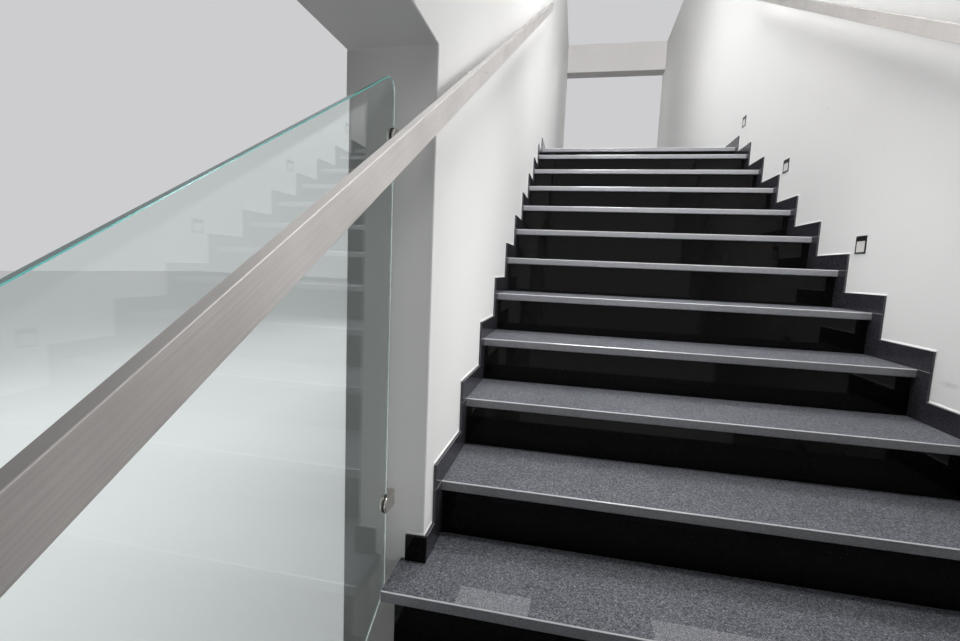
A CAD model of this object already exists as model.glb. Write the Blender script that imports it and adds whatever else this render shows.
from math import atan, cos, pi, radians, sin

import bmesh
import bpy
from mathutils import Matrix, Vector


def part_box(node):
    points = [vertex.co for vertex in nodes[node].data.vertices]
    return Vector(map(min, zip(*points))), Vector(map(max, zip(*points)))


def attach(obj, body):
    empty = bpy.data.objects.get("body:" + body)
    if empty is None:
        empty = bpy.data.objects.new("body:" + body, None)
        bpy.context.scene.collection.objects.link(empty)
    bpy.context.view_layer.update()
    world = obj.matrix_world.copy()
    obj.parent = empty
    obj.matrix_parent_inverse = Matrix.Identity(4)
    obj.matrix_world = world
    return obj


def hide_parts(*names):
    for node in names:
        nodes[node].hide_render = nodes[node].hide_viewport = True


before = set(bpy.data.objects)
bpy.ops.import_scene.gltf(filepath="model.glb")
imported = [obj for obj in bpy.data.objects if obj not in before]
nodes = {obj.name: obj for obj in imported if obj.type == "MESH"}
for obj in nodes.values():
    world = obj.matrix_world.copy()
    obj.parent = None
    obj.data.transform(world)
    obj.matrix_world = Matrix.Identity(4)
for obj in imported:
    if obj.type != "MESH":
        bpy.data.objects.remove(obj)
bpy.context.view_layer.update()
scene = bpy.context.scene
print("frame loaded:", len(nodes), "nodes")

# Planes and slope of the stair, read from the frame
treads = sorted(name for name in nodes if name.startswith("tread_"))
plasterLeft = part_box("left_wall")[1].x
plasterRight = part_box("right_wall")[0].x
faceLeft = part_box("left_skirting_strips")[1].x
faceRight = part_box("right_skirting_strips")[0].x
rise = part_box("tread_07")[0].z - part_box("tread_06")[0].z
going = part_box("tread_08")[0].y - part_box("tread_07")[0].y
pitch = atan(rise / going)


# Shared helpers

def hexColor(code):  # sRGB hex to linear
    values = [int(code[i:i + 2], 16) / 255 for i in (1, 3, 5)]
    return [v / 12.92 if v <= 0.04045 else ((v + 0.055) / 1.055) ** 2.4 for v in values] + [1.0]


# Adds a node. Among its inputs a socket is linked, a hex code is a colour, and the rest are plain values
def addNode(tree, kind, inputs=None, stops=None, **settings):
    node = tree.nodes.new(kind)
    for name, value in settings.items():
        setattr(node, name, value)
    for key, value in (inputs or {}).items():
        if isinstance(value, bpy.types.NodeSocket):
            tree.links.new(value, node.inputs[key])
        else:
            node.inputs[key].default_value = hexColor(value) if isinstance(value, str) else value
    if stops:
        line = node.color_ramp
        while len(line.elements) < len(stops):
            line.elements.new(0.5)
        for element, (place, code) in zip(line.elements, stops):
            element.position = place
            element.color = hexColor(code)
    return node.outputs


def startMaterial(name, values):
    material = bpy.data.materials.new(name)
    material.use_nodes = True
    tree = material.node_tree
    shader = tree.nodes["Principled BSDF"]
    for key, value in values.items():
        shader.inputs[key].default_value = hexColor(value) if isinstance(value, str) else value
    return material, tree, shader


def addPiece(name, mesh, slot, *materials):
    piece = bpy.data.objects.new(name, mesh)
    scene.collection.objects.link(piece)
    piece.data.materials.clear()
    for material in materials:
        piece.data.materials.append(material)
    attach(piece, "root")
    return piece


def dress(names, material):
    for name in names:
        nodes[name].data.materials.clear()
        nodes[name].data.materials.append(material)


weldGap = 1e-5  # corners of a node's loose triangles closer than this are one corner


# Corners of each separate solid in a node, from the lowest step up
def solidBoxes(name):
    work = bmesh.new()
    work.from_mesh(nodes[name].data)
    bmesh.ops.remove_doubles(work, verts=work.verts, dist=weldGap)
    boxes, seen = [], set()
    for start in work.verts:
        if start in seen:
            continue
        seen.add(start)
        island, queue = [], [start]
        while queue:
            vert = queue.pop()
            island.append(vert.co.copy())
            for edge in vert.link_edges:
                other = edge.other_vert(vert)
                if other not in seen:
                    seen.add(other)
                    queue.append(other)
        boxes.append([Vector([pick(p[i] for p in island) for i in range(3)]) for pick in (min, max)])
    work.free()
    return sorted(boxes, key=lambda box: (round(box[0].y, 4), box[0].z))


# Materials. The sizes of their patterns are in metres

# Granite, sawn into slabs and honed on top: matt salt and pepper.
# Its sawn front is paler, and the ground arris shines
graniteLook = {
    "grain": 0.0031,
    "speck": 0.0015,
    "bigShare": 0.62,
    "cloud": 0.25,
    "grains": [(0.0, "#121316"), (0.25, "#333439"), (0.5, "#515358"), (0.8, "#686a71"), (1.0, "#989aa2")],
    "edge": "#a6a6aa",
    "edgeShare": 0.55,
    "bevel": "#c2c2c5",
    "topRough": 0.64,
    "faceRough": 0.42,
    "edgeRough": 0.24,
    "bevelRough": 0.12,
}

# Dark granite of the skirting, polished: few pale grains, and a sawn rim that stays dull
skirtingLook = {
    "grain": 0.0026,
    "speck": 0.0012,
    "bigShare": 0.55,
    "cloud": 0.3,
    "grains": [(0.0, "#232327"), (0.5, "#2e2d32"), (0.8, "#3b3b41"), (0.95, "#515157"), (1.0, "#6c6c72")],
    "edge": "#58585c",
    "edgeShare": 0.45,
    "bevel": "#77777b",
    "topRough": 0.4,
    "faceRough": 0.13,
    "edgeRough": 0.35,
    "bevelRough": 0.3,
}

# How a slab's faces are told apart, by their normals: the top, the front, and the slanting bevel between them
slabFaces = {"top": 0.95, "front": -0.9, "bevel": 0.7, "bevelSpan": 0.22}


def graniteMaterial(name, look):
    material, tree, shader = startMaterial(name, {"IOR": 1.5, "Specular IOR Level": 0.3})
    place = addNode(tree, "ShaderNodeTexCoord")["Object"]
    crystals = addNode(tree, "ShaderNodeTexVoronoi", {"Vector": place, "Scale": 1 / look["grain"]})
    specks = addNode(tree, "ShaderNodeTexVoronoi", {"Vector": place, "Scale": 1 / look["speck"]})
    cloud = addNode(tree, "ShaderNodeTexNoise", {
        "Vector": place, "Scale": 1 / look["cloud"], "Detail": 3.0})["Fac"]
    big = addNode(tree, "ShaderNodeSeparateColor", {"Color": crystals["Color"]})["Red"]
    small = addNode(tree, "ShaderNodeSeparateColor", {"Color": specks["Color"]})["Green"]
    bigPart = addNode(tree, "ShaderNodeMath", {0: big, 1: look["bigShare"]}, operation="MULTIPLY")[0]
    pick = addNode(tree, "ShaderNodeMath", {0: small, 1: 1 - look["bigShare"], 2: bigPart},
                   operation="MULTIPLY_ADD")[0]
    grains = addNode(tree, "ShaderNodeValToRGB", {"Fac": pick}, look["grains"])["Color"]
    shade = addNode(tree, "ShaderNodeMapRange", {"Value": cloud, "To Min": 0.78, "To Max": 1.18})["Result"]
    stone = addNode(tree, "ShaderNodeMix", {"Factor": 1.0, "A": grains, "B": shade},
                    data_type="RGBA", blend_type="MULTIPLY")["Result"]
    normal = addNode(tree, "ShaderNodeNewGeometry")["Normal"]
    turned = addNode(tree, "ShaderNodeSeparateXYZ", {"Vector": normal})
    onTop = addNode(tree, "ShaderNodeMath", {0: turned["Z"], 1: slabFaces["top"]},
                    operation="GREATER_THAN")[0]
    onFront = addNode(tree, "ShaderNodeMath", {0: turned["Y"], 1: slabFaces["front"]},
                      operation="LESS_THAN")[0]
    onBevel = addNode(tree, "ShaderNodeMath", {
        0: turned["Z"], 1: slabFaces["bevel"], 2: slabFaces["bevelSpan"]}, operation="COMPARE")[0]
    sawn = addNode(tree, "ShaderNodeMix", {"Factor": look["edgeShare"], "A": stone, "B": look["edge"]},
                   data_type="RGBA")["Result"]
    color = addNode(tree, "ShaderNodeMix", {"Factor": onFront, "A": stone, "B": sawn},
                    data_type="RGBA")["Result"]
    color = addNode(tree, "ShaderNodeMix", {"Factor": onBevel, "A": color, "B": look["bevel"]},
                    data_type="RGBA")["Result"]
    tree.links.new(color, shader.inputs["Base Color"])
    rough = look["faceRough"]
    for share, key in ((onTop, "topRough"), (onBevel, "bevelRough"), (onFront, "edgeRough")):
        rough = addNode(tree, "ShaderNodeMath", {0: share, 1: look[key] - look["faceRough"], 2: rough},
                        operation="MULTIPLY_ADD")[0]
    tree.links.new(rough, shader.inputs["Roughness"])
    pits = addNode(tree, "ShaderNodeMath", {0: crystals["Distance"], 1: onTop}, operation="MULTIPLY")[0]
    bump = addNode(tree, "ShaderNodeBump", {"Height": pits, "Strength": 0.2, "Distance": 0.0005})["Normal"]
    tree.links.new(bump, shader.inputs["Normal"])
    return material


granite = graniteMaterial("graniteHonedTread", graniteLook)
darkGranite = graniteMaterial("granitePolishedSkirting", skirtingLook)

# Black granite, mirror polished: almost no colour of its own, a few bronze grains,
# and faint waves in what it mirrors
blackLook = {
    "grain": 0.0022,
    "grains": [(0.0, "#040404"), (0.86, "#070606"), (0.97, "#110f0e"), (1.0, "#2a2522")],
    "wave": 0.2,
}


def blackGraniteMaterial():
    material, tree, shader = startMaterial("graniteBlackPolished", {
        "IOR": 1.5, "Specular IOR Level": 0.18, "Roughness": 0.05})
    place = addNode(tree, "ShaderNodeTexCoord")["Object"]
    crystals = addNode(tree, "ShaderNodeTexVoronoi", {"Vector": place, "Scale": 1 / blackLook["grain"]})
    pick = addNode(tree, "ShaderNodeSeparateColor", {"Color": crystals["Color"]})["Blue"]
    grains = addNode(tree, "ShaderNodeValToRGB", {"Fac": pick}, blackLook["grains"])["Color"]
    tree.links.new(grains, shader.inputs["Base Color"])
    waves = addNode(tree, "ShaderNodeTexNoise", {
        "Vector": place, "Scale": 1 / blackLook["wave"], "Detail": 1.0})["Fac"]
    bump = addNode(tree, "ShaderNodeBump", {"Height": waves, "Strength": 0.06, "Distance": 0.0005})["Normal"]
    tree.links.new(bump, shader.inputs["Normal"])
    return material


blackGranite = blackGraniteMaterial()

# Emulsion paint rolled on gypsum plaster: soft stipple, slow waves and a few faint grey scuffs.
# The right wall is rubbed grey in one place beside the lower steps
plasterLook = {
    "wave": 0.7143,
    "stipple": 0.005,
    "stippleShare": 0.035,
    "scuff": 0.14286,
    "scuffFlatness": 2.6,
    "scuffFrom": 0.72,
    "scuffFull": 0.82,
    "rubStep": "tread_07",
    "rubBehindNosing": 0.155,
    "rubAboveStep": 0.148,
    "rubReach": (0.1111, 0.0714, 0.01429),
    "rubFray": 0.016667,
    "rubShare": 0.8,
}


def plasterMaterial(name, color, waveColor, scuffColor):
    look = plasterLook
    material, tree, shader = startMaterial(name, {"IOR": 1.45, "Roughness": 0.7, "Specular IOR Level": 0.35})
    place = addNode(tree, "ShaderNodeTexCoord")["Object"]
    waves = addNode(tree, "ShaderNodeTexNoise", {
        "Vector": place, "Scale": 1 / look["wave"], "Detail": 4.0})["Fac"]
    stipple = addNode(tree, "ShaderNodeTexNoise", {
        "Vector": place, "Scale": 1 / look["stipple"], "Detail": 2.0})["Fac"]
    tone = addNode(tree, "ShaderNodeMix", {"Factor": waves, "A": color, "B": waveColor},
                   data_type="RGBA")["Result"]
    flat = addNode(tree, "ShaderNodeMapping", {
        "Vector": place, "Scale": (1.0, 1.0, look["scuffFlatness"])})["Vector"]
    marks = addNode(tree, "ShaderNodeTexNoise", {
        "Vector": flat, "Scale": 1 / look["scuff"], "Detail": 5.0, "Roughness": 0.6})["Fac"]
    scuff = addNode(tree, "ShaderNodeMapRange", {
        "Value": marks, "From Min": look["scuffFrom"], "From Max": look["scuffFull"]})["Result"]
    low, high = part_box(look["rubStep"])
    rubCentre = (plasterRight, low.y + look["rubBehindNosing"], high.z + look["rubAboveStep"])
    away = addNode(tree, "ShaderNodeVectorMath", {0: place, 1: rubCentre}, operation="SUBTRACT")["Vector"]
    away = addNode(tree, "ShaderNodeMapping", {
        "Vector": away, "Scale": [1 / reach for reach in look["rubReach"]]})["Vector"]
    away = addNode(tree, "ShaderNodeVectorMath", {0: away}, operation="LENGTH")["Value"]
    fray = addNode(tree, "ShaderNodeTexNoise", {
        "Vector": flat, "Scale": 1 / look["rubFray"], "Detail": 3.0})["Fac"]
    rub = addNode(tree, "ShaderNodeMath", {0: away, 1: fray}, operation="ADD")[0]
    rub = addNode(tree, "ShaderNodeMapRange", {
        "Value": rub, "From Min": 0.5, "From Max": 1.25, "To Min": look["rubShare"], "To Max": 0.0})["Result"]
    scuff = addNode(tree, "ShaderNodeMath", {0: scuff, 1: rub}, operation="MAXIMUM")[0]
    painted = addNode(tree, "ShaderNodeMix", {"Factor": scuff, "A": tone, "B": scuffColor},
                      data_type="RGBA")["Result"]
    tree.links.new(painted, shader.inputs["Base Color"])
    coat = addNode(tree, "ShaderNodeMath", {0: stipple, 1: look["stippleShare"], 2: waves},
                   operation="MULTIPLY_ADD")[0]
    bump = addNode(tree, "ShaderNodeBump", {"Height": coat, "Strength": 0.35, "Distance": 0.006})["Normal"]
    tree.links.new(bump, shader.inputs["Normal"])
    return material


plaster = plasterMaterial("plasterPaintedWhite", "#e5e4e3", "#dfdfde", "#c6c6c6")
beamPaint = plasterMaterial("plasterPaintedBeam", "#d3d0cf", "#cac7c5", "#bbb9b7")

# Concrete, cast against boards: cloudy grey paste, board joints 200 mm apart, pores the size of a pea
concreteLook = {
    "cloud": 0.25,
    "paste": [(0.25, "#7f7d79"), (0.55, "#989590"), (0.8, "#aba8a3")],
    "board": 0.2,
    "jointWidth": 0.03,
    "jointShare": 0.35,
    "joint": "#6d6b68",
    "pore": 0.03,
    "poreRadius": 0.11,
}


def concreteMaterial():
    look = concreteLook
    material, tree, shader = startMaterial("concreteBoardCast", {"IOR": 1.5, "Roughness": 0.86})
    place = addNode(tree, "ShaderNodeTexCoord")["Object"]
    paste = addNode(tree, "ShaderNodeTexNoise", {
        "Vector": place, "Scale": 1 / look["cloud"], "Detail": 8.0, "Roughness": 0.65})["Fac"]
    tone = addNode(tree, "ShaderNodeValToRGB", {"Fac": paste}, look["paste"])["Color"]
    boards = addNode(tree, "ShaderNodeTexWave", {  # this texture runs through 20 radians in a unit
        "Vector": place, "Scale": 2 * pi / 20 / look["board"], "Distortion": 0.0},
        bands_direction="X", wave_profile="SAW")["Fac"]
    joint = addNode(tree, "ShaderNodeMath", {0: boards, 1: 1 - look["jointWidth"]},
                    operation="GREATER_THAN")[0]
    pores = addNode(tree, "ShaderNodeTexVoronoi", {"Vector": place, "Scale": 1 / look["pore"]})["Distance"]
    hole = addNode(tree, "ShaderNodeMath", {0: pores, 1: look["poreRadius"]}, operation="LESS_THAN")[0]
    faint = addNode(tree, "ShaderNodeMath", {0: joint, 1: look["jointShare"]}, operation="MULTIPLY")[0]
    color = addNode(tree, "ShaderNodeMix", {"Factor": faint, "A": tone, "B": look["joint"]},
                    data_type="RGBA")["Result"]
    tree.links.new(color, shader.inputs["Base Color"])
    relief = addNode(tree, "ShaderNodeMath", {0: paste, 1: joint}, operation="SUBTRACT")[0]
    relief = addNode(tree, "ShaderNodeMath", {0: relief, 1: hole}, operation="SUBTRACT")[0]
    bump = addNode(tree, "ShaderNodeBump", {"Height": relief, "Strength": 0.5, "Distance": 0.002})["Normal"]
    tree.links.new(bump, shader.inputs["Normal"])
    return material


concrete = concreteMaterial()

# Shared by the steels: the length of a scratch, the size of the haze, and which faces count as a top
steelLook = {"scratchLong": 0.16667, "haze": 0.1111, "topFrom": 0.6, "topFull": 0.84}


# Stainless steel, ground: fine scratches run along the piece, turned to its slope, under a faint haze.
# stretch draws the highlight out, and topShade darkens the faces that look up
def groundSteelMaterial(name, color, rough, scratch, turn=0.0, stretch=0.0, topShade=1.0):
    look = steelLook
    material, tree, shader = startMaterial(name, {"Metallic": 1.0, "Anisotropic": stretch})
    place = addNode(tree, "ShaderNodeTexCoord")["Object"]
    turned = addNode(tree, "ShaderNodeMapping", {"Vector": place, "Rotation": (-turn, 0, 0)})["Vector"]
    along = addNode(tree, "ShaderNodeMapping", {
        "Vector": turned, "Scale": (1 / scratch, 1 / look["scratchLong"], 1 / scratch)})["Vector"]
    lines = addNode(tree, "ShaderNodeTexNoise", {"Vector": along, "Scale": 1.0, "Detail": 3.0})["Fac"]
    haze = addNode(tree, "ShaderNodeTexNoise", {
        "Vector": place, "Scale": 1 / look["haze"], "Detail": 4.0})["Fac"]
    both = addNode(tree, "ShaderNodeMath", {0: lines, 1: haze}, operation="ADD")[0]
    shade = addNode(tree, "ShaderNodeMapRange", {
        "Value": both, "From Min": 0.7, "From Max": 1.3, "To Min": 0.89, "To Max": 1.07})["Result"]
    tone = addNode(tree, "ShaderNodeMix", {"Factor": 1.0, "A": color, "B": shade},
                   data_type="RGBA", blend_type="MULTIPLY")["Result"]
    normal = addNode(tree, "ShaderNodeNewGeometry")["Normal"]
    up = addNode(tree, "ShaderNodeSeparateXYZ", {"Vector": normal})["Z"]
    darker = addNode(tree, "ShaderNodeMapRange", {
        "Value": up, "From Min": look["topFrom"], "From Max": look["topFull"],
        "To Min": 1.0, "To Max": topShade})["Result"]
    shaded = addNode(tree, "ShaderNodeMix", {"Factor": 1.0, "A": tone, "B": darker},
                     data_type="RGBA", blend_type="MULTIPLY")["Result"]
    tree.links.new(shaded, shader.inputs["Base Color"])
    gloss = addNode(tree, "ShaderNodeMapRange", {
        "Value": both, "From Max": 2.0, "To Min": rough - 0.1, "To Max": rough + 0.12})["Result"]
    tree.links.new(gloss, shader.inputs["Roughness"])
    bump = addNode(tree, "ShaderNodeBump", {"Height": lines, "Strength": 0.12, "Distance": 0.0003})["Normal"]
    tree.links.new(bump, shader.inputs["Normal"])
    if stretch:
        slope = (0.0, cos(turn), sin(turn))
        crossed = addNode(tree, "ShaderNodeVectorMath", {0: normal, 1: slope},
                          operation="CROSS_PRODUCT")["Vector"]
        tree.links.new(crossed, shader.inputs["Tangent"])
    return material


# Stainless bar, belt ground along its slope: a satin face with a long highlight, and a darker sawn top
railSteel = groundSteelMaterial("stainlessGroundRail", "#d9d5d2", 0.6, 0.0016667,
                                turn=pitch, stretch=0.72, topShade=0.4)
# Stainless rod, turned: a soft shine that shows the round of the studs and screw heads
smallSteel = groundSteelMaterial("stainlessTurnedStud", "#dad7d3", 0.32, 0.0033333)
# Stainless casting, polished: close to a mirror, light and dark in streaks
clampSteel = groundSteelMaterial("stainlessPolishedClamp", "#d2ccc6", 0.14, 0.005)

# Clear float glass, laminated: colourless through the face, sea green where the light runs along the sheet
paneGlass = startMaterial("glassClearLaminated", {
    "IOR": 1.52, "Roughness": 0.0, "Transmission Weight": 1.0, "Base Color": "#f1f8f6"})[0]
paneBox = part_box("glass_pane")
paneSizes = {"arris": 0.0012, "film": 0.0015}


# The pane's polished rim: two pale green sheets with the dull film between them.
# It glows a little with the light that runs in the sheet
def paneRimMaterial():
    material, tree, shader = startMaterial("glassPolishedRim", {
        "IOR": 1.52, "Roughness": 0.12, "Transmission Weight": 0.8, "Emission Color": "#8fb9b6",
        "Emission Strength": 0.1})
    place = addNode(tree, "ShaderNodeTexCoord")["Object"]
    across = addNode(tree, "ShaderNodeSeparateXYZ", {"Vector": place})["X"]
    middle = (paneBox[0].x + paneBox[1].x) / 2
    inFilm = addNode(tree, "ShaderNodeMath", {0: across, 1: middle, 2: paneSizes["film"] / 2},
                     operation="COMPARE")[0]
    color = addNode(tree, "ShaderNodeMix", {"Factor": inFilm, "A": "#a6d3cd", "B": "#7fb0ab"},
                    data_type="RGBA")["Result"]
    tree.links.new(color, shader.inputs["Base Color"])
    return material


paneRim = paneRimMaterial()


# Small stuff, ground, moulded or extruded: each has a faint grain so that it isn't one flat tone
def smallMaterial(name, color, other, rough, grain, values):
    material, tree, shader = startMaterial(name, values)
    place = addNode(tree, "ShaderNodeTexCoord")["Object"]
    noise = addNode(tree, "ShaderNodeTexNoise", {"Vector": place, "Scale": 1 / grain, "Detail": 3.0})["Fac"]
    tone = addNode(tree, "ShaderNodeMix", {"Factor": noise, "A": color, "B": other},
                   data_type="RGBA")["Result"]
    tree.links.new(tone, shader.inputs["Base Color"])
    gloss = addNode(tree, "ShaderNodeMapRange", {
        "Value": noise, "To Min": rough - 0.06, "To Max": rough + 0.06})["Result"]
    tree.links.new(gloss, shader.inputs["Roughness"])
    return material


# Glass arris, ground: frosted, so it gathers the green of the sheet and the light, and reads as a thin line
paneArris = smallMaterial("glassGroundArris", "#4fb0aa", "#5fbdb8", 0.3, 0.01, {
    "IOR": 1.52, "Emission Color": "#3f9f9b", "Emission Strength": 0.4})
# Rubber, moulded: black and dull, so the joint between clamp and glass reads as a dark line
rubber = smallMaterial("rubberMouldedBlack", "#101011", "#1c1c1d", 0.6, 0.002, {"IOR": 1.5})
# Aluminium, anodised nearly black: a soft metallic sheen on a dark skin
lightFrame = smallMaterial("aluminiumAnodisedBlack", "#242326", "#313034", 0.36, 0.001, {"Metallic": 0.6})
# Acrylic, cast opal: milky, so the lamp behind it shows as an even pale patch
opal = smallMaterial("acrylicOpal", "#e2e1de", "#cfcdc9", 0.38, 0.03, {"IOR": 1.49})
# Silicone, tooled by hand: white bead with a satin skin
silicone = smallMaterial("siliconeTooledWhite", "#f4f3f1", "#e6e5e2", 0.45, 0.02, {"IOR": 1.41})
# Cement grout, wiped flush: thin pale line between two stones
grout = smallMaterial("groutCementPale", "#8b8a8c", "#717074", 0.8, 0.004, {"IOR": 1.5})
# Polypropylene tape, clear: a thin matt haze over the stone
clearTape = smallMaterial("tapeClearMatt", "#b4b4ba", "#9f9fa6", 0.45, 0.004, {"IOR": 1.49, "Alpha": 0.15})
print("materials made:", len(bpy.data.materials))


# Geometry Nodes

def startTree(name, inputs):
    tree = bpy.data.node_groups.new(name, "GeometryNodeTree")
    tree.interface.new_socket("Geometry", in_out="INPUT", socket_type="NodeSocketGeometry")
    for key, (kind, value) in inputs.items():
        socket = tree.interface.new_socket(key, in_out="INPUT", socket_type="NodeSocket" + kind)
        if value is not None:
            socket.default_value = value
    tree.interface.new_socket("Geometry", in_out="OUTPUT", socket_type="NodeSocketGeometry")
    return tree, addNode(tree, "NodeGroupInput")


def endTree(tree, source, given):
    real = addNode(tree, "GeometryNodeRealizeInstances", {"Geometry": source})["Geometry"]
    painted = addNode(tree, "GeometryNodeSetMaterial", {"Geometry": real, "Material": given["Material"]})
    addNode(tree, "NodeGroupOutput", {"Geometry": painted["Geometry"]})


# An oval bead swept along every edge of a wire mesh
def beadTree():
    tree, given = startTree("beadAlongEdges", {
        "Half Width": ("Float", 0.003), "Half Height": ("Float", 0.003), "Sides": ("Int", 12),
        "Material": ("Material", None)})
    curve = addNode(tree, "GeometryNodeMeshToCurve", {"Mesh": given["Geometry"]})["Curve"]
    upright = addNode(tree, "GeometryNodeSetCurveNormal", {"Curve": curve}, mode="Z_UP")["Curve"]
    ring = addNode(tree, "GeometryNodeCurvePrimitiveCircle", {
        "Resolution": given["Sides"], "Radius": 1.0})["Curve"]
    size = addNode(tree, "ShaderNodeCombineXYZ", {
        "X": given["Half Height"], "Y": given["Half Width"], "Z": 1.0})["Vector"]
    oval = addNode(tree, "GeometryNodeTransform", {"Geometry": ring, "Scale": size})["Geometry"]
    sweep = addNode(tree, "GeometryNodeCurveToMesh", {
        "Curve": upright, "Profile Curve": oval, "Fill Caps": True})["Mesh"]
    endTree(tree, sweep, given)
    return tree


# A low tapered head, round or six-sided, on every point of a wire mesh
def headTree():
    tree, given = startTree("headOnPoints", {
        "Radius": ("Float", 0.004), "Height": ("Float", 0.0006), "Taper": ("Float", 0.85),
        "Sides": ("Int", 24), "Turn": ("Vector", (0.0, 0.0, 0.0)), "Material": ("Material", None)})
    top = addNode(tree, "ShaderNodeMath", {0: given["Radius"], 1: given["Taper"]}, operation="MULTIPLY")[0]
    head = addNode(tree, "GeometryNodeMeshCone", {
        "Vertices": given["Sides"], "Radius Bottom": given["Radius"], "Radius Top": top,
        "Depth": given["Height"]})["Mesh"]
    spread = addNode(tree, "GeometryNodeInstanceOnPoints", {
        "Points": given["Geometry"], "Instance": head, "Rotation": given["Turn"]})["Instances"]
    endTree(tree, spread, given)
    return tree


beads, heads = beadTree(), headTree()

# Angles of the finished shells, in degrees
shellAngles = {"merge": 1, "bevel": 30, "flat": 8, "round": 40}


# Runs one of the trees on a wire of lines, or of single points, and keeps the plain mesh
def growPiece(name, tree, lines, values, slot, material):
    points = [point for line in lines for point in line]
    edges, start = [], 0
    for line in lines:
        edges += [(start + i, start + i + 1) for i in range(len(line) - 1)]
        start += len(line)
    wire = bpy.data.meshes.new(name + "Wire")
    wire.from_pydata(points, edges, [])
    maker = bpy.data.objects.new(name + "Maker", wire)
    scene.collection.objects.link(maker)
    grow = maker.modifiers.new("grow", "NODES")
    grow.node_group = tree
    keys = {item.name: item.identifier for item in tree.interface.items_tree if item.in_out == "INPUT"}
    for key, value in {**values, "Material": material}.items():
        grow[keys[key]] = value
    mesh = bpy.data.meshes.new_from_object(maker.evaluated_get(bpy.context.evaluated_depsgraph_get()))
    bpy.data.objects.remove(maker)
    mesh.name = name
    mesh.shade_smooth()
    mesh.set_sharp_from_angle(angle=radians(shellAngles["round"]))
    return addPiece(name, mesh, slot, material)


# A copy of one or more nodes as one clean shell, its sharp edges eased by a real bevel.
# Its flat faces stay flat, or are shaded into the bevels where it is rounded
def easedShell(name, sources, slot, material, width, segments=2, rounded=False):
    makers = []
    for source in sources:
        work = bmesh.new()
        work.from_mesh(nodes[source].data)
        bmesh.ops.remove_doubles(work, verts=work.verts, dist=weldGap)
        bmesh.ops.dissolve_limit(work, angle_limit=radians(shellAngles["merge"]),
                                 verts=work.verts, edges=work.edges)
        mesh = bpy.data.meshes.new(source + "Clean")
        work.to_mesh(mesh)
        work.free()
        if rounded:
            mesh.shade_smooth()
            mesh.set_sharp_from_angle(angle=radians(shellAngles["round"]))
        maker = bpy.data.objects.new(source + "Maker", mesh)
        scene.collection.objects.link(maker)
        makers.append(maker)
    shell = makers[0]
    for other in makers[1:]:
        join = shell.modifiers.new("join", "BOOLEAN")
        join.operation = "UNION"
        join.solver = "EXACT"
        join.object = other
    ease = shell.modifiers.new("ease", "BEVEL")
    ease.width = width
    ease.segments = segments
    ease.limit_method = "ANGLE"
    ease.angle_limit = radians(shellAngles["bevel"])
    if rounded:
        ease.mark_sharp = False
        weigh = shell.modifiers.new("weigh", "WEIGHTED_NORMAL")
        weigh.weight = 80  # leans the shading towards the large faces
    mesh = bpy.data.meshes.new_from_object(shell.evaluated_get(bpy.context.evaluated_depsgraph_get()))
    mesh.name = name
    if not rounded:
        mesh.shade_smooth()
        mesh.set_sharp_from_angle(angle=radians(shellAngles["flat"]))
    for maker in makers:
        bpy.data.objects.remove(maker)
    piece = addPiece(name, mesh, slot, material)
    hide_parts(*sources)
    return piece


# Pieces

dress(treads + ["landing_nosing", "landing_paving"], granite)
dress(["lower_risers", "upper_risers"], blackGranite)
dress(["lower_flight", "upper_flight", "landing_slab"], concrete)
dress(["left_rail_studs", "right_rail_studs"], smallSteel)
dress(["step_light_lenses"], opal)
print("stone and concrete dressed")

walls = {"edge": 0.004}
easedShell("leftWallPlaster", ["left_wall", "left_header", "left_pier"], "white_plaster", plaster,
           walls["edge"])
easedShell("rightWallPlaster", ["right_wall"], "white_plaster", plaster, walls["edge"])
easedShell("landingBeamPlaster", ["landing_beam"], "white_plaster", beamPaint, walls["edge"])
print("plastered walls eased")

skirting = {"edge": 0.0008, "topBeadWide": 0.0055, "topBeadHigh": 0.0024, "sideBead": 0.0018,
            "joint": 0.0008, "jointRun": 0.061}
for side in ("left", "right"):
    easedShell(side + "SkirtingStrips", [side + "_skirting_strips"], "dark_granite", darkGranite,
               skirting["edge"], 1)
    easedShell(side + "SkirtingUprights", [side + "_skirting_uprights"], "dark_granite", darkGranite,
               skirting["edge"], 1)
easedShell("skirtingReturn", ["left_skirting_return"], "polished_black_granite", blackGranite,
           skirting["edge"], 1)


# White sealant where the skirting meets the plaster, and the pale joints between its stones
def addSkirtingLines():
    tops, sides, joints = [], [], []
    for side, plasterX, faceX in (("left", plasterLeft, faceLeft), ("right", plasterRight, faceRight)):
        strips = solidBoxes(side + "_skirting_strips")
        for index, (low, high) in enumerate(strips):
            tops.append(((plasterX, low.y, high.z), (plasterX, high.y, high.z)))
            if index:
                below = strips[index - 1][1].z
                sides.append(((plasterX, low.y, below), (plasterX, low.y, high.z)))
        for low, high in solidBoxes(side + "_skirting_uprights"):
            joints.append(((plasterX, low.y, high.z), (faceX, low.y, high.z),
                           (faceX, low.y + skirting["jointRun"], high.z)))
    low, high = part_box("left_skirting_return")  # its bead turns the wall's corner into the first strip's
    tops[0] = ((low.x, high.y, high.z),) + tops[0]
    growPiece("skirtingTopSealant", beads, tops, {
        "Half Width": skirting["topBeadWide"], "Half Height": skirting["topBeadHigh"]},
        "white_plaster", silicone)
    growPiece("skirtingSideSealant", beads, sides, {
        "Half Width": skirting["sideBead"], "Half Height": skirting["sideBead"]},
        "white_plaster", silicone)
    growPiece("skirtingJoints", beads, joints, {
        "Half Width": skirting["joint"], "Half Height": skirting["joint"], "Sides": 6},
        "dark_granite", grout)


addSkirtingLines()
print("skirting, sealant and joints done")

rails = {"edge": 0.001, "plug": 0.0045, "plugHeight": 0.0006, "socket": 0.0022, "socketHeight": 0.0001,
         "socketLift": 0.00005}
for side in ("left", "right"):
    easedShell(side + "RailBar", [side + "_handrail"], "stainless", railSteel, rails["edge"])


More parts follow.
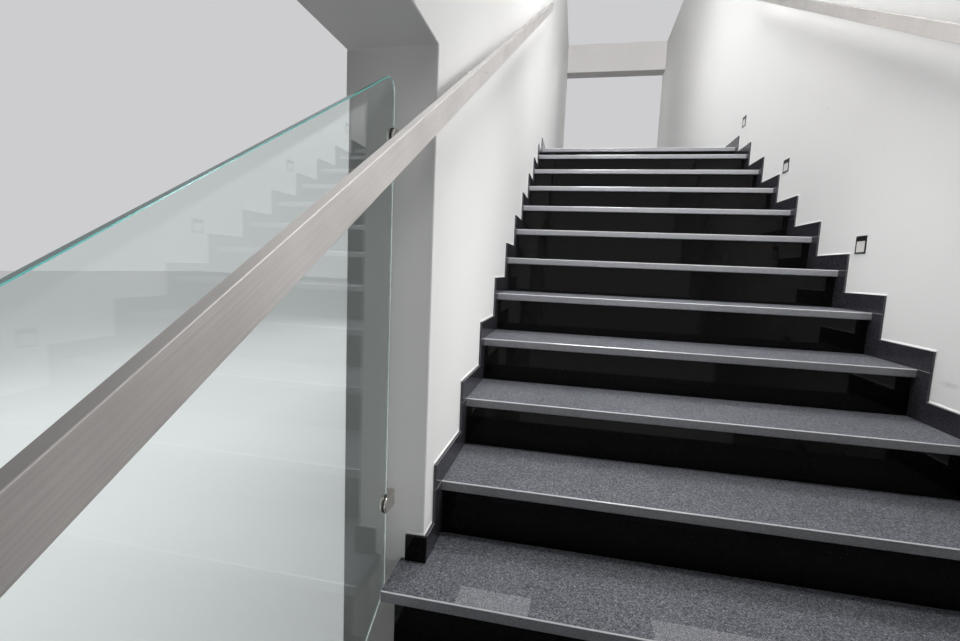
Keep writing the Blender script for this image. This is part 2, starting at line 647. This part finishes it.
# Countersunk screw in the bar's face in front of every stud, with its dark hexagon socket
def addRailScrews():
    for side, out in (("left", 1), ("right", -1)):
        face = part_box(side + "_handrail")[1 if out > 0 else 0].x
        centres = [(low + high) / 2 for low, high in solidBoxes(side + "_rail_studs")]
        turn = (0.0, out * pi / 2, 0.0)
        growPiece(side + "RailScrews", heads, [[(face, c.y, c.z)] for c in centres], {
            "Radius": rails["plug"], "Height": rails["plugHeight"], "Turn": turn},
            "stainless", smallSteel)
        over = face + out * (rails["plugHeight"] + rails["socketLift"])
        growPiece(side + "RailSockets", heads, [[(over, c.y, c.z)] for c in centres], {
            "Radius": rails["socket"], "Height": rails["socketHeight"], "Taper": 1.0, "Sides": 6,
            "Turn": turn},
            "stainless", rubber)


addRailScrews()
print("rails and their screws done")

clamps = {"edge": 0.0035, "edgeSegments": 4, "screw": 0.0032, "screwHeight": 0.0016, "screwTaper": 0.5,
          "screwIn": 0.0134, "screwApart": 0.0248, "gasket": 0.0013, "gasketSteps": 16}
easedShell("clampBodies", ["glass_clamps"], "stainless", clampSteel, clamps["edge"],
           clamps["edgeSegments"], True)


# Two small screws near the wall on each clamp, and the rubber that shows round its cheeks
def addClampParts():
    screws, gaskets = [], []
    middle = (paneBox[0].y + paneBox[1].y) / 2
    steps = clamps["gasketSteps"]
    for low, high in solidBoxes("glass_clamps"):
        out = -1 if low.y > middle else 1  # the way from the wall to the pane
        wall, tip = (high.y, low.y) if out < 0 else (low.y, high.y)
        height, radius = (low.z + high.z) / 2, (high.z - low.z) / 2
        for lift in (-0.5, 0.5):
            screws.append([(high.x, wall + out * clamps["screwIn"], height + lift * clamps["screwApart"])])
        paneEnd = paneBox[1].y if out < 0 else paneBox[0].y
        bend = [(tip - out * radius + out * radius * sin(a), height + radius * cos(a))
                for a in [pi * k / steps for k in range(steps + 1)]]
        outline = [(paneEnd, height + radius)] + bend + [(paneEnd, height - radius)]
        for x in (paneBox[0].x, paneBox[1].x):
            gaskets.append([(x, y, z) for y, z in outline])
    growPiece("clampScrews", heads, screws, {
        "Radius": clamps["screw"], "Height": clamps["screwHeight"], "Taper": clamps["screwTaper"],
        "Turn": (0.0, pi / 2, 0.0)},
        "stainless", smallSteel)
    growPiece("clampGaskets", beads, gaskets, {
        "Half Width": clamps["gasket"], "Half Height": clamps["gasket"], "Sides": 8},
        "stainless", rubber)


addClampParts()


# The pane's shell has three materials: its two faces, its rim, and the arrises along its upper edge.
# The normals of its faces tell which is which
paneFaces = {"flat": 0.99, "arris": 0.3, "upper": 0.3}


def addPane():
    pane = easedShell("glassPane", ["glass_pane"], "pane_glass", paneGlass, paneSizes["arris"], 1)
    pane.data.materials.append(paneRim)
    pane.data.materials.append(paneArris)
    for face in pane.data.polygons:
        across, up = abs(face.normal.x), face.normal.z
        if across > paneFaces["flat"]:
            face.material_index = 0
        elif across > paneFaces["arris"] and up > paneFaces["upper"]:
            face.material_index = 2
        else:
            face.material_index = 1


addPane()

stepLights = {"edge": 0.0006}
easedShell("lightFrames", ["step_light_frames"], "light_frame", lightFrame, stepLights["edge"])
print("glass, clamps and step lights done")

# Two strips of clear tape left on the nosing of the fifth tread, laid slightly askew
tape = {"thick": 0.0003, "lift": 0.00005, "near": 0.003, "far": 0.066, "askew": 0.002,
        "spans": [(-0.643, -0.469), (-0.189, 0.16)]}


def addTape():
    low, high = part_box("tread_05")
    near, far, askew = low.y + tape["near"], low.y + tape["far"], tape["askew"]
    work = bmesh.new()
    for start, end in tape["spans"]:
        corners = [(start, near), (end, near), (end + 2 * askew, far), (start + askew, far + askew)]
        top = [work.verts.new((x, y, high.z + tape["thick"])) for x, y in corners]
        bottom = [work.verts.new((x, y, high.z + tape["lift"])) for x, y in corners]
        work.faces.new(top)
        work.faces.new(bottom[::-1])
        for i in range(4):
            work.faces.new((bottom[i], bottom[(i + 1) % 4], top[(i + 1) % 4], top[i]))
    mesh = bpy.data.meshes.new("nosingTape")
    work.to_mesh(mesh)
    work.free()
    addPiece("nosingTape", mesh, "granite", clearTape)


addTape()
print("tape laid")


# Studio

studio = {"floor": "#dedede", "floorReach": 40, "shown": "#cdcdcf", "floorShown": 0.65, "fill": "#f6f7fa",
          "fillStrength": 0.05}


# Whether the world or the floor is seen, straight or through glass or in steel, and not lighting the stair
def addSeen(tree):
    ray = addNode(tree, "ShaderNodeLightPath")
    seen = addNode(tree, "ShaderNodeMath", {0: ray["Is Camera Ray"], 1: ray["Is Glossy Ray"]},
                   operation="MAXIMUM")[0]
    return addNode(tree, "ShaderNodeMath", {0: seen, 1: ray["Is Transmission Ray"]}, operation="MAXIMUM")[0]


# Pale floor that takes the shadow, and a world that shows pale but lights softly
def addStudio():
    work = bmesh.new()
    bmesh.ops.create_grid(work, x_segments=1, y_segments=1, size=studio["floorReach"])
    mesh = bpy.data.meshes.new("studioFloor")
    work.to_mesh(mesh)
    work.free()
    floor = bpy.data.objects.new("studioFloor", mesh)
    scene.collection.objects.link(floor)
    paper, tree, shader = startMaterial("paperPale", {
        "Base Color": studio["floor"], "Roughness": 0.9, "Emission Color": studio["shown"]})
    glow = addNode(tree, "ShaderNodeMath", {0: addSeen(tree), 1: studio["floorShown"]},
                   operation="MULTIPLY")[0]
    tree.links.new(glow, shader.inputs["Emission Strength"])
    floor.data.materials.append(paper)
    world = bpy.data.worlds.new("studioWorld")
    scene.world = world
    world.use_nodes = True
    tree = world.node_tree
    fill = tree.nodes["Background"]
    fill.inputs["Color"].default_value = hexColor(studio["fill"])
    fill.inputs["Strength"].default_value = studio["fillStrength"]
    shown = addNode(tree, "ShaderNodeBackground", {"Color": studio["shown"], "Strength": 1.0})[0]
    mix = addNode(tree, "ShaderNodeMixShader", {0: addSeen(tree), 1: fill.outputs[0], 2: shown})[0]
    tree.links.new(mix, tree.nodes["World Output"].inputs["Surface"])


def addLamp(name, place, aim, size, power, glossy=True, spread=180):
    data = bpy.data.lights.new(name, "AREA")
    data.shape = "RECTANGLE"
    data.size, data.size_y = size
    data.energy = power
    data.spread = radians(spread)
    lamp = bpy.data.objects.new(name, data)
    lamp.location = place
    lamp.rotation_euler = (Vector(aim) - Vector(place)).to_track_quat("-Z", "Y").to_euler()
    lamp.visible_camera = False
    lamp.visible_transmission = False
    lamp.visible_glossy = glossy
    scene.collection.objects.link(lamp)


addStudio()
# Each lamp's place, aim, size and power, whether steel and stone mirror it, and its spread in degrees
lamps = {
    "lampOverFlight": ((0.0, -2.65, 5.4), (0.0, -0.6, 2.3), (1.2, 0.5), 92),
    "lampOverLanding": ((0.0, 0.5, 8.4), (0.0, 0.7, 0.0), (1.1, 1.6), 225),
    "spotUpFlight": ((0.0, -4.2, 3.8), (0.0, -0.8, 2.2), (1.0, 0.3), 9, False, 50),
    "stripOverFoot": ((0.2, -4.52, 4.6), (-0.2, -2.78, 1.0), (1.2, 0.06), 10),
    "stripBesideJamb": ((-0.62, -3.6, 1.5), (-0.87, -2.91, 1.5), (0.08, 1.2), 0.2, False, 40),
    "washLeftFoot": ((0.6, -2.3, 2.6), (-0.765, -2.6, 1.3), (0.9, 0.25), 4.2, False, 90),
    "washLeftLow": ((0.6, -2.6, 2.0), (-0.765, -2.65, 1.15), (0.8, 0.25), 0.9, False, 70),
    "washLeftHigh": ((0.6, -0.9, 4.0), (-0.765, -1.2, 2.5), (1.0, 0.3), 12, False),
    "washLeftLanding": ((0.6, 0.1, 4.1), (-0.765, 0.2, 3.6), (1.0, 0.3), 2, False),
    "washRightLanding": ((-0.6, 0.9, 4.0), (0.765, 1.2, 3.4), (1.2, 0.4), 10, False),
    "washRightHigh": ((-0.6, -0.2, 4.1), (0.765, -0.2, 3.5), (1.0, 0.3), 4, False),
    "washRightLow": ((-0.6, -2.0, 2.4), (0.765, -2.3, 1.5), (0.9, 0.25), 1.5, False, 70),
    "lampSideLeft": ((-7.0, -1.6, 4.0), (-0.9, -1.0, 1.8), (3.0, 3.0), 90, False),
    "lampFrontRight": ((7.0, -5.5, 4.0), (0.9, -1.0, 1.8), (3.0, 3.0), 110, False),
    "lampBackLeft": ((-5.5, 7.5, 5.0), (-0.6, 1.0, 2.0), (3.0, 3.0), 130, False),
    "lampBackRight": ((5.5, 7.5, 5.0), (0.6, 1.0, 2.0), (3.0, 3.0), 130, False),
}
for name, values in lamps.items():
    addLamp(name, *values)

# Camera, fitted to the photograph; it stands above the lowest steps and looks up the flight
view = {"place": (-0.4091, -4.0639, 1.6423), "turn": (83.657, -2.436, 11.431), "lens": 17.794,
        "sensor": 36.0, "near": 0.02}
cameraData = bpy.data.cameras.new("camera")
cameraData.lens = view["lens"]
cameraData.sensor_width = view["sensor"]
cameraData.clip_start = view["near"]
camera = bpy.data.objects.new("camera", cameraData)
camera.location = view["place"]
camera.rotation_euler = [radians(a) for a in view["turn"]]
scene.collection.objects.link(camera)
scene.camera = camera
scene.view_settings.view_transform = "Standard"
print("studio and camera set")

bpy.context.view_layer.update()
